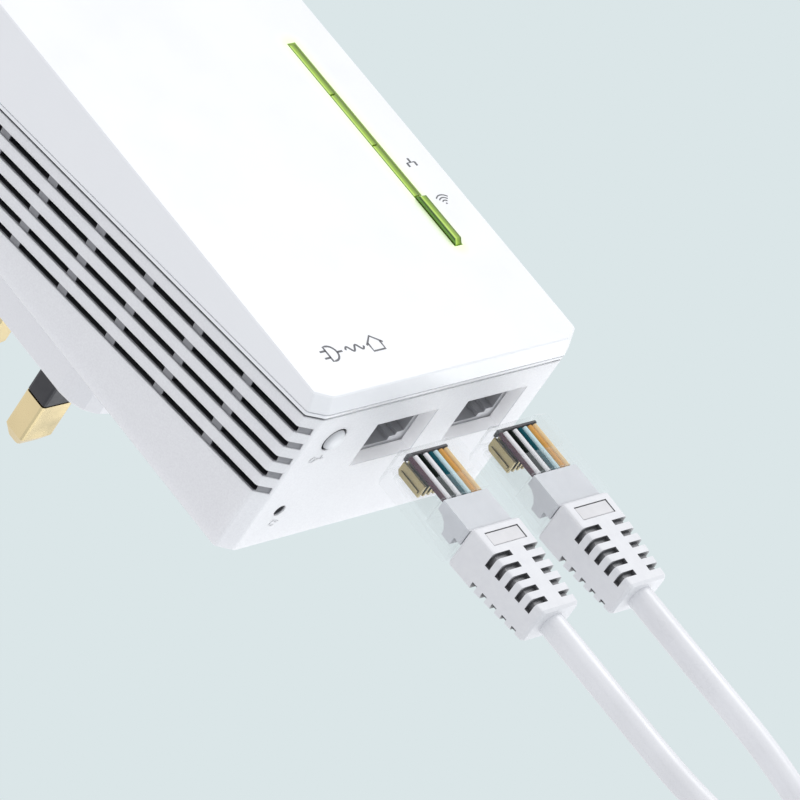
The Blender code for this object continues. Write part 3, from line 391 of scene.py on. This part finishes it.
def make_looks():
    looks = {}
    for metallic, table in ((0.0, PLAIN_LOOKS), (1.0, METAL_LOOKS)):
        for name, (colour, roughness, share, grain, depth) in table.items():
            look = Look(name, colour, roughness, Metallic=metallic)
            look.vary_colour(grain / CLOUD_SIZE, [CLOUD_SHADE * part for part in colour])
            look.vary_roughness(grain / SMEAR_SIZE, roughness * (1 - share), roughness * (1 + share))
            if name.startswith("wire_"):
                look.shader.inputs["Specular IOR Level"].default_value = WIRE_SHINE
            looks[name] = look.bump(grain, depth)
    cover = Look("cover_gloss", (0.875, 0.88, 0.895), 0.2, Coat_Weight=0.4, Coat_Roughness=0.05)
    cover.vary_colour(160, (0.865, 0.87, 0.887)).vary_roughness(140, 0.17, 0.24)
    looks["cover_gloss"] = cover.bump(900, 1.5e-6).glow_beside((0.62, 0.80, 0.28), 0.45)
    satin = Look(
        "housing_satin",
        (0.84, 0.84, 0.855),
        0.42,
        Subsurface_Weight=0.5,
        Subsurface_Radius=(1.0, 1.0, 1.0),
        Subsurface_Scale=0.0025,
    )
    satin.vary_colour(4200, (0.78, 0.775, 0.795)).vary_roughness(600, 0.36, 0.50)
    # Painted shade in the vents: grey in the grooves, paler at their tips, black in the slots.
    satin.darken_vents((0.36, 0.36, 0.38), (0.26, 0.26, 0.275), (0.035, 0.035, 0.04))
    # Painted shade on the walls of the reset and pair holes.
    satin.darken_hole(RESET_XY, RESET_RADIUS, (0.10, 0.10, 0.11))
    satin.darken_hole(PAIR_XY, PAIR_RADIUS + GAP, (0.10, 0.10, 0.11))
    # A painted glow on the short walls round the ports.
    looks["housing_satin"] = satin.glow_port_walls(0.20).bump(3400, 7e-6)
    socket = Look("jack_plastic", (0.42, 0.42, 0.44), 0.45)
    socket.vary_colour(900, (0.38, 0.38, 0.40)).vary_roughness(400, 0.38, 0.52)
    # Painted light on the jacks' face, paler than their inside.
    looks["jack_plastic"] = socket.pale_rim((0.80, 0.80, 0.82)).bump(1500, 5e-6)
    button = Look("button_white", (0.84, 0.845, 0.86), 0.30)
    button.vary_colour(900, (0.82, 0.825, 0.84)).vary_roughness(400, 0.25, 0.38)
    # Painted shade on the pair button towards its edge and on its wall in the hole.
    button.shade_rim(PAIR_XY, PAIR_RADIUS, (0.40, 0.40, 0.42), (0.03, 0.03, 0.035))
    looks["button_white"] = button.bump(1500, 3e-6)
    boot = Look("boot_matt", (0.77, 0.77, 0.785), 0.50)
    boot.vary_colour(900, (0.74, 0.74, 0.76)).vary_roughness(500, 0.42, 0.58)
    # Painted shade in the boot's slots and notches.
    looks["boot_matt"] = boot.shade_hollows(0.0014, (0.11, 0.11, 0.115), 0.50, 0.88).bump(1600, 8e-6)
    insert = Look("insert_grey", (0.62, 0.63, 0.655), 0.40)
    insert.vary_colour(600, (0.59, 0.60, 0.625)).vary_roughness(400, 0.34, 0.48)
    # Painted shade in the insert's notch.
    looks["insert_grey"] = insert.shade_hollows(0.0016, (0.05, 0.05, 0.055), 0.45, 0.85).bump(900, 6e-6)
    gold = Look("gold", (0.46, 0.385, 0.20), 0.34, Metallic=1.0)
    gold.vary_colour(600, (0.40, 0.33, 0.17)).vary_roughness(800, 0.28, 0.42)
    # Painted shade between the gold contacts.
    looks["gold"] = gold.shade_hollows(0.0010, (0.06, 0.045, 0.015), 0.40, 0.85).bump(2500, 3e-6)
    floor = Look("floor", (0.80, 0.83, 0.84), 0.85, Specular_IOR_Level=0.05)
    floor.vary_colour(300, (0.79, 0.82, 0.83)).vary_roughness(200, 0.82, 0.88)
    looks["floor"] = floor.bump(900, 2e-5)
    base = Look("base_satin", (0.84, 0.84, 0.855), 0.45)
    base.vary_colour(4200, (0.80, 0.795, 0.815)).vary_roughness(200, 0.4, 0.52)
    looks["base_satin"] = base.bump(3000, 7e-6)
    lens = Look(
        "green_lens",
        (0.055, 0.16, 0.012),
        0.12,
        Coat_Weight=0.25,
        Coat_Roughness=0.04,
        Emission_Color=(0.20, 0.36, 0.02, 1.0),
        Emission_Strength=0.12,
    )
    lens.lens_hue_and_painted_light(LENS_TOP, LENS_SIDE).vary_roughness(300, 0.08, 0.18)
    looks["green_lens"] = lens.bump(600, 3e-6)
    board = Look("board", (0.03, 0.20, 0.08), 0.4)
    board.vary_colour(300, (0.02, 0.13, 0.05)).vary_roughness(400, 0.3, 0.5)
    looks["board"] = board.bump(700, 1e-5)
    clear = Look("clear_plastic", (0.90, 0.94, 0.95), 0.05, Coat_Weight=1.0, Coat_Roughness=0.03)
    clear.vary_colour(300, (0.85, 0.92, 0.93)).vary_roughness(400, 0.03, 0.09)
    clear.see_through(0.05, 0.60)
    looks["clear_plastic"] = clear.bump(350, 6e-6)
    return looks


looks = make_looks()


def dress(thing, look):
    data = thing.data
    data.materials.clear()
    data.materials.append(looks[look].material)
    for face in getattr(data, "polygons", ()):
        face.material_index = 0


# Camera


CAMERA_PLACE = (-0.61742, -0.50862, -0.35205)
CAMERA_AHEAD = (0.7370, 0.5721, 0.3600)
CAMERA_UP = (0.1671, -0.6703, 0.7230)
CAMERA_LENS = 279.4
CAMERA_SENSOR = 36.0
CAMERA_CLIP = (0.05, 50.0)


def make_camera():
    """The view from the lower left, rolled so that the adapter points up to the left."""
    data = bpy.data.cameras.new("camera")
    data.lens = CAMERA_LENS
    data.sensor_width = CAMERA_SENSOR
    data.clip_start, data.clip_end = CAMERA_CLIP
    camera = bpy.data.objects.new("camera", data)
    bpy.context.scene.collection.objects.link(camera)
    ahead = Vector(CAMERA_AHEAD).normalized()
    right = ahead.cross(Vector(CAMERA_UP)).normalized()
    up = right.cross(ahead)
    turn = Matrix((right, up, -ahead)).transposed().to_4x4()
    camera.matrix_world = Matrix.Translation(CAMERA_PLACE) @ turn
    bpy.context.scene.camera = camera


# Cords


def hand_of(side):
    """Which way a lead turns outwards along X."""
    return 1 if side == "left" else -1


def lead_facts(side):
    """Where one lead's boot ends and where its coil hangs, from the model's own boxes."""
    boot_low, boot_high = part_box(f"{side}_plug_boot")
    coil_low, coil_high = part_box(f"{side}_cord_coil")
    start = Vector(
        ((boot_low.x + boot_high.x) / 2, (boot_low.y + boot_high.y) / 2, boot_low.z)
    )
    return start, (coil_low + coil_high) / 2


# Where each turn of the coil lies, in cord diameters outwards and sideways: five round a
# sixth in the middle, and one more beside it for the way out.
TURN_PLACES = [(cos(radians(a)), sin(radians(a))) for a in (60, 120, 180, 240, 300)]
TURN_PLACES += [(0.0, 0.0), (1.0, 0.0)]
ENTRY_TURN = 3 * pi / 4
SWAY_DROP = 0.0231
DROP_STEPS = 52
STEPS_PER_TURN = 40
TAIL_STEPS = 8
STUB = 0.001
LAP_START = 0.62
LAP_SHARE = 0.36


def ease(share):
    """A share from 0 to 1 that starts and ends gently."""
    return (1 - cos(pi * share)) / 2


def clamp(value):
    return min(max(value, 0.0), 1.0)


def coil_point(centre, hand, turn, out, across):
    """A point of the coil, out and across from its middle circle in cord diameters."""
    radius = COIL_RADIUS + 2 * CORD_RADIUS * out
    return Vector(
        (
            centre.x + hand * radius * cos(turn),
            centre.y - hand * 2 * CORD_RADIUS * across,
            centre.z + radius * sin(turn),
        )
    )


def drop_points(start, centre, hand):
    """The lead from its boot down to where the coil begins."""
    end_z = centre.z + COIL_RADIUS * sin(pi / 4)
    bend_z = centre.z + (COIL_RADIUS + ENTRY_RADIUS) * sin(pi / 4)
    sway_z = start.z - SWAY_DROP
    middle = coil_point(centre, hand, ENTRY_TURN, 0, 0)
    first = coil_point(centre, hand, ENTRY_TURN, *TURN_PLACES[0]) - middle
    points = [start + Vector((0, 0, STUB))]
    for i in range(1, DROP_STEPS):
        z = start.z + (end_z - start.z) * i / DROP_STEPS
        drop = clamp((bend_z - z) / (ENTRY_RADIUS * sin(pi / 4)))
        inwards = ENTRY_RADIUS * (1 - (1 - (drop * sin(pi / 4)) ** 2) ** 0.5)
        share = clamp((sway_z - z) / (sway_z - end_z))
        y = start.y + (centre.y - start.y) * ease(share)
        points.append(Vector((start.x - hand * inwards, y, z)) + first * share * ease(share))
    return points


def coil_points(centre, hand):
    """The turns, each passing on to the next one's place near its end."""
    points = []
    count = COIL_TURNS * STEPS_PER_TURN + STEPS_PER_TURN // 8
    for i in range(count + 1):
        done = i / STEPS_PER_TURN
        lap = min(int(done), len(TURN_PLACES) - 2)
        share = ease(clamp((done - lap - LAP_START) / LAP_SHARE))
        here, there = TURN_PLACES[lap], TURN_PLACES[lap + 1]
        out, across = [a * (1 - share) + b * share for a, b in zip(here, there)]
        points.append(coil_point(centre, hand, ENTRY_TURN + 2 * pi * done, out, across))
    return points


def tail_points(last, centre, hand):
    """The end of the lead, from the coil straight down into the far boot."""
    far_x = centre.x - hand * COIL_RADIUS
    points = []
    for i in range(1, TAIL_STEPS + 1):
        share = i / TAIL_STEPS
        x = last.x + (far_x - last.x) * ease(share)
        y = last.y + (centre.y - last.y) * ease(share)
        points.append(Vector((x, y, last.z - (FAR_DROP + STUB) * share)))
    return points


def lead_path(side):
    """The cord's centre line: out of the boot, down, round the coil and to the far boot."""
    start, centre = lead_facts(side)
    hand = hand_of(side)
    points = drop_points(start, centre, hand) + coil_points(centre, hand)
    return points + tail_points(points[-1], centre, hand)


def tube(name, points, radius, look, sides=4):
    curve = bpy.data.curves.new(name, "CURVE")
    curve.dimensions = "3D"
    curve.bevel_depth = radius
    curve.bevel_resolution = sides
    curve.use_fill_caps = True
    spline = curve.splines.new("POLY")
    spline.points.add(len(points) - 1)
    for spot, point in zip(spline.points, points):
        spot.co = (*point, 1)
    spline.use_smooth = True
    thing = bpy.data.objects.new(name, curve)
    bpy.context.scene.collection.objects.link(thing)
    curve.materials.append(looks[look].material)
    return thing


def make_cord(side):
    points = lead_path(side)
    cord = tube(f"{side}_cord_whole", points, CORD_RADIUS, "cord_jacket")
    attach(cord, f"{side}_lead")
    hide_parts(f"{side}_cord", f"{side}_cord_coil")
    tie = make_tie(side)


SMOOTH_ANGLE = radians(35)
SAME_PLACE = 1e-7


def finish_mesh(name, mesh, look, body):
    bmesh.ops.remove_doubles(mesh, verts=mesh.verts, dist=SAME_PLACE)
    bmesh.ops.recalc_face_normals(mesh, faces=mesh.faces)
    data = bpy.data.meshes.new(name)
    mesh.to_mesh(data)
    mesh.free()
    data.shade_smooth()
    data.set_sharp_from_angle(angle=SMOOTH_ANGLE)
    data.materials.append(looks[look].material)
    thing = bpy.data.objects.new(name, data)
    bpy.context.scene.collection.objects.link(thing)
    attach(thing, body)
    return thing


# The strap's section, as distance from the bundle's middle and height, and its steps round.
TIE_PROFILE = (
    (0.0060, -0.0048),
    (0.0067, -0.0050),
    (0.0071, -0.0046),
    (0.0071, 0.0046),
    (0.0067, 0.0050),
    (0.0060, 0.0048),
)
TIE_STEPS = 32


def make_tie(side):
    """A soft strap round the coil's bundle at the side away from the lead's way in."""
    _, centre = lead_facts(side)
    hand = hand_of(side)
    middle = Vector((centre.x + hand * COIL_RADIUS, centre.y, centre.z))
    mesh = bmesh.new()
    rows = []
    for i in range(TIE_STEPS):
        t = 2 * pi * i / TIE_STEPS
        spots = [middle + Vector((r * cos(t), r * sin(t), z)) for r, z in TIE_PROFILE]
        rows.append([mesh.verts.new(spot) for spot in spots])
    for i, row in enumerate(rows):
        after = rows[(i + 1) % TIE_STEPS]
        for j in range(len(TIE_PROFILE)):
            k = (j + 1) % len(TIE_PROFILE)
            mesh.faces.new((row[j], row[k], after[k], after[j]))
    tie = finish_mesh(f"{side}_coil_tie", mesh, "tie_band", f"{side}_lead")
    return tie


# Pieces


CAD_LOOKS = {
    "cover_gloss": ["front_cover"],
    "housing_satin": ["rear_housing"],
    "base_satin": ["plug_base"],
    "button_white": ["pair_button"],
    "green_lens": ["wifi_button", "ethernet_light", "powerline_light", "power_light"],
    "black_plastic": [
        "live_pin_sleeve",
        "neutral_pin_sleeve",
        "wifi_switch",
        "pair_switch",
        "reset_switch",
        "processor",
        "mains_fuse",
    ],
    "jack_plastic": ["jack_left", "jack_right"],
    "grey_plastic": ["wifi_switch_plunger", "pair_switch_plunger", "reset_switch_plunger"],
    "brass": ["live_pin", "neutral_pin", "earth_pin"],
    "steel": [
        "housing_screw_lower_left",
        "housing_screw_lower_right",
        "housing_screw_upper_left",
        "housing_screw_upper_right",
    ],
    "gold": [
        "jack_contacts_left",
        "jack_contacts_right",
        "left_plug_contacts",
        "right_plug_contacts",
    ],
    "board": ["main_board", "power_board", "button_board"],
    "sheet": ["insulation_sheet"],
    "copper": ["transformer_winding", "mains_choke"],
    "aluminium": ["reservoir_capacitor", "antenna_left", "antenna_right"],
    "ferrite": ["transformer_core"],
    "yellow_tape": ["coupling_transformer"],
    "clear_plastic": [
        "left_plug",
        "right_plug",
        "left_plug_latch",
        "right_plug_latch",
        "left_far_plug",
        "right_far_plug",
    ],
    "insert_grey": ["left_plug_insert", "right_plug_insert"],
    "boot_matt": ["left_plug_boot", "right_plug_boot", "left_far_boot", "right_far_boot"],
}


def dress_cad():
    for look, names in CAD_LOOKS.items():
        for name in names:
            dress(nodes[name], look)


# Each wire's look and radius, from left to right.
WIRES = (
    ("wire_plum", 0.00038),
    ("wire_white", 0.00060),
    ("wire_black", 0.00044),
    ("wire_white", 0.00058),
    ("wire_teal", 0.00046),
    ("wire_pale", 0.00054),
    ("wire_orange", 0.00052),
    ("wire_peach", 0.00052),
)
WIRE_GAP = 0.00001
WIRE_STEPS = 4
# The black bar that stands in for shadow at the wires' ends: half its width, half its depth, its
# stretch above them and its edge.
BAR_HALF = 4.0 * WIRE_PITCH
BAR_DEPTH = 0.0006
BAR_UP = (0.0001, 0.0006)
BAR_EDGE = 0.0001


def make_wires(side):
    """Eight insulated wires in place of the plain strip, and a black bar at their ends as painted
    shadow.
    """
    low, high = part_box(f"{side}_plug_wires")
    x = (low.x + high.x) / 2
    y = (low.y + high.y) / 2
    middle = x - sum(radius for _, radius in WIRES)
    front = y - max(radius for _, radius in WIRES)
    for i, (look, radius) in enumerate(WIRES):
        middle += radius
        heights = [low.z + (high.z - low.z) * s / WIRE_STEPS for s in range(WIRE_STEPS + 1)]
        points = [Vector((middle, front + radius, z)) for z in heights]
        middle += radius
        wire = tube(f"{side}_wire_{i + 1}", points, radius - WIRE_GAP, look, 3)
        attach(wire, f"{side}_lead")
        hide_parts(f"{side}_plug_wires")
    spans = (
        (x - BAR_HALF, x + BAR_HALF),
        (y - BAR_DEPTH, y + BAR_DEPTH),
        (high.z + BAR_UP[0], high.z + BAR_UP[1]),
    )
    bar = plate(f"{side}_shadow_bar", spans, BAR_EDGE, "black_plastic", f"{side}_lead")


def plate(name, spans, edge, look, body):
    """A small flat piece with softened edges."""
    mesh = bmesh.new()
    bmesh.ops.create_cube(mesh, size=1.0)
    middle = [(low + high) / 2 for low, high in spans]
    size = [high - low for low, high in spans]
    bmesh.ops.scale(mesh, vec=size, verts=mesh.verts)
    bmesh.ops.translate(mesh, vec=middle, verts=mesh.verts)
    bmesh.ops.bevel(mesh, geom=mesh.edges[:], offset=edge, segments=2, affect="EDGES")
    return finish_mesh(name, mesh, look, body)


# The boot's window, and the name plate's size and place in it.
WINDOW_DOWN = 0.0011
WINDOW_DEPTH = 0.0032
LABEL_HALF = 0.0033
LABEL_FRONT = (0.0002, 0.00002)
LABEL_DOWN = (0.0022, 0.0001)
LABEL_EDGE = 0.00006


def make_boot_label(side):
    """A blank name plate in the boot's window."""
    low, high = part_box(f"{side}_plug_boot")
    x = (low.x + high.x) / 2
    back = (low.y + high.y) / 2 - WINDOW_DEPTH
    top = high.z - WINDOW_DOWN
    spans = (
        (x - LABEL_HALF, x + LABEL_HALF),
        (back - LABEL_FRONT[0], back - LABEL_FRONT[1]),
        (top - LABEL_DOWN[0], top - LABEL_DOWN[1]),
    )
    label = plate(f"{side}_boot_label", spans, LABEL_EDGE, "boot_label", f"{side}_lead")


# Marks on the housing. Each sits a little into its face and stands up from it.
MARK_SINK = 0.00002
PRINT_THICK = 3e-5
MOULD_THICK = 1.2e-4
BOLD = 0.00036
FINE = 0.00030
THIN = 0.00014
WAVE_STROKE = 0.00019
DOT_STROKE = 0.00022
KEY_STROKE = 0.00020
TURN_STROKE = 0.00016
SIGN_UP = 0.0076

# Each pictogram's middle in its face and its width.
MARK_PLACES = {
    "network_mark": ((0.0220, 0.0350), 0.0017),
    "wireless_mark": ((0.0224, 0.0277), 0.0023),
    "plug_mark": ((-0.0190, SIGN_UP), 0.0050),
    "wave_mark": ((-0.0142, SIGN_UP), 0.0036),
    "house_mark": ((-0.0102, SIGN_UP), 0.0044),
    "pair_mark": ((-0.0199, -0.0276), 0.0026),
    "restart_mark": ((-0.0197, -0.0148), 0.0016),
}


def stroke(mesh, points, width, place):
    """A raised ribbon of even width along a line of flat points."""
    rows = []
    for i, point in enumerate(points):
        before = points[max(i - 1, 0)]
        after = points[min(i + 1, len(points) - 1)]
        ahead = Vector((after[0] - before[0], after[1] - before[1])).normalized()
        side = Vector((-ahead.y, ahead.x)) * width / 2
        rows.append(
            [
                mesh.verts.new(place(point[0] + sign * side.x, point[1] + sign * side.y, lift))
                for sign, lift in ((1, 0), (1, 1), (-1, 1), (-1, 0))
            ]
        )
    for row, after in zip(rows, rows[1:]):
        for j in range(4):
            k = (j + 1) % 4
            mesh.faces.new((row[j], row[k], after[k], after[j]))
    mesh.faces.new(rows[0])
    mesh.faces.new(rows[-1])


def arc(a, b, radius, start, end, steps=10):
    """Points of an arc about (a, b), between two angles in degrees."""
    turns = [radians(start + (end - start) * i / steps) for i in range(steps + 1)]
    return [(a + radius * cos(t), b + radius * sin(t)) for t in turns]


def make_mark(name, strokes, look, place):
    """A pictogram of (width, line) strokes, its lines drawn in a unit square about 0."""
    centre, size = MARK_PLACES[name]
    mesh = bmesh.new()
    for width, line in strokes:
        points = [(centre[0] + a * size, centre[1] + b * size) for a, b in line]
        stroke(mesh, points, width, place)
    finish_mesh(name, mesh, look, "adapter")


def on_front(a, b, lift):
    return Vector((a, FRONT_Y + MARK_SINK - lift * (PRINT_THICK + MARK_SINK), LOW_END + b))


def on_end(a, b, lift):
    return Vector((a, b, LOW_END + MARK_SINK - lift * (MOULD_THICK + MARK_SINK)))


def print_mark(name, strokes):
    make_mark(name, strokes, "print_grey", on_front)


def mould_mark(name, width, lines):
    make_mark(name, [(width, line) for line in lines], "housing_satin", on_end)


def make_front_marks():
    """Network, wireless, plug, wave and house pictograms printed on the front."""
    network = [
        (BOLD, [(0, 0.55), (0, 0.12)]),
        (THIN, [(-0.45, 0.08), (0.45, 0.08)]),
        (BOLD, [(-0.45, 0.08), (-0.45, -0.36)]),
        (BOLD, [(0.45, 0.08), (0.45, -0.36)]),
    ]
    print_mark("network_mark", network)
    waves = [(WAVE_STROKE, arc(0, -0.3, radius, 45, 135)) for radius in (0.30, 0.52, 0.74)]
    waves.append((DOT_STROKE, [(-0.06, -0.26), (0.06, -0.26)]))
    print_mark("wireless_mark", waves)
    plug = [
        (FINE, arc(0, 0, 0.26, -90, 90) + [(-0.10, 0.26), (-0.10, -0.26), (0, -0.26)]),
        (FINE, [(-0.10, 0.12), (-0.32, 0.12)]),
        (FINE, [(-0.10, -0.12), (-0.32, -0.12)]),
        (FINE, [(0.26, 0), (0.46, 0)]),
    ]
    print_mark("plug_mark", plug)
    wave = [(t / 24 - 0.5, 0.13 * sin(t / 24 * 4 * pi)) for t in range(25)]
    print_mark("wave_mark", [(FINE, wave)])
    house = [
        (FINE, [(-0.36, -0.02), (0, 0.30), (0.36, -0.02)]),
        (FINE, [(-0.26, 0.04), (-0.26, -0.28), (0.26, -0.28), (0.26, 0.04)]),
    ]
    print_mark("house_mark", house)


def make_end_marks():
    """Small raised pictograms beside the pair button and the reset hole."""
    key = [arc(-0.3, 0, 0.18, 0, 330, 12), [(-0.12, 0), (0.5, 0)], [(0.32, 0), (0.32, -0.2)]]
    mould_mark("pair_mark", KEY_STROKE, key)
    turn = [
        arc(0, 0, 0.34, 60, 360, 14),
        [(0.34, 0), (0.52, -0.18)],
        [(0.34, 0), (0.16, -0.18)],
    ]
    mould_mark("restart_mark", TURN_STROKE, turn)


# Stage


def area_light(name, place, aim, size, power):
    data = bpy.data.lights.new(name, "AREA")
    data.shape = "DISK"
    data.size = size
    data.energy = power
    light = bpy.data.objects.new(name, data)
    bpy.context.scene.collection.objects.link(light)
    light.location = place
    ahead = Vector(aim) - Vector(place)
    light.rotation_mode = "QUATERNION"
    light.rotation_quaternion = ahead.to_track_quat("-Z", "Y")
    light.visible_camera = False


BACKDROP = (0.708, 0.791, 0.807)
ROOM = (0.915, 0.92, 0.95)
FLOOR_HALF = 6.0
FLOOR_Z = -0.55

# Each lamp's name, place, the point it faces, its size and its power.
LAMPS = (
    ("key", (1.1, -1.5, 0.5), (0, -0.02, 0), 0.9, 9.6),
    ("under", (0.24, 0.10, -0.40), (0, -0.01, -0.05), 0.50, 0.88),
)


def make_stage():
    scene = bpy.context.scene
    scene.view_settings.view_transform = "Standard"
    world = bpy.data.worlds.new("studio")
    scene.world = world
    world.use_nodes = True
    tree = world.node_tree
    room = tree.nodes["Background"]
    room.inputs["Color"].default_value = (*ROOM, 1.0)
    paper = tree.nodes.new("ShaderNodeBackground")
    paper.inputs["Color"].default_value = (*BACKDROP, 1.0)
    seen = tree.nodes.new("ShaderNodeLightPath")
    choice = tree.nodes.new("ShaderNodeMixShader")
    tree.links.new(seen.outputs["Is Camera Ray"], choice.inputs["Fac"])
    tree.links.new(room.outputs["Background"], choice.inputs[1])
    tree.links.new(paper.outputs["Background"], choice.inputs[2])
    tree.links.new(choice.outputs["Shader"], tree.nodes["World Output"].inputs["Surface"])
    floor = bmesh.new()
    bmesh.ops.create_grid(floor, x_segments=4, y_segments=4, size=FLOOR_HALF)
    data = bpy.data.meshes.new("floor")
    floor.to_mesh(data)
    floor.free()
    data.materials.append(looks["floor"].material)
    plane = bpy.data.objects.new("floor", data)
    plane.location = (0, 0, FLOOR_Z)
    scene.collection.objects.link(plane)
    for lamp in LAMPS:
        area_light(*lamp)


make_camera()
for lead_side in ("left", "right"):
    make_cord(lead_side)
for lead_side in ("left", "right"):
    make_wires(lead_side)
    make_boot_label(lead_side)
make_front_marks()
make_end_marks()
dress_cad()
make_stage()
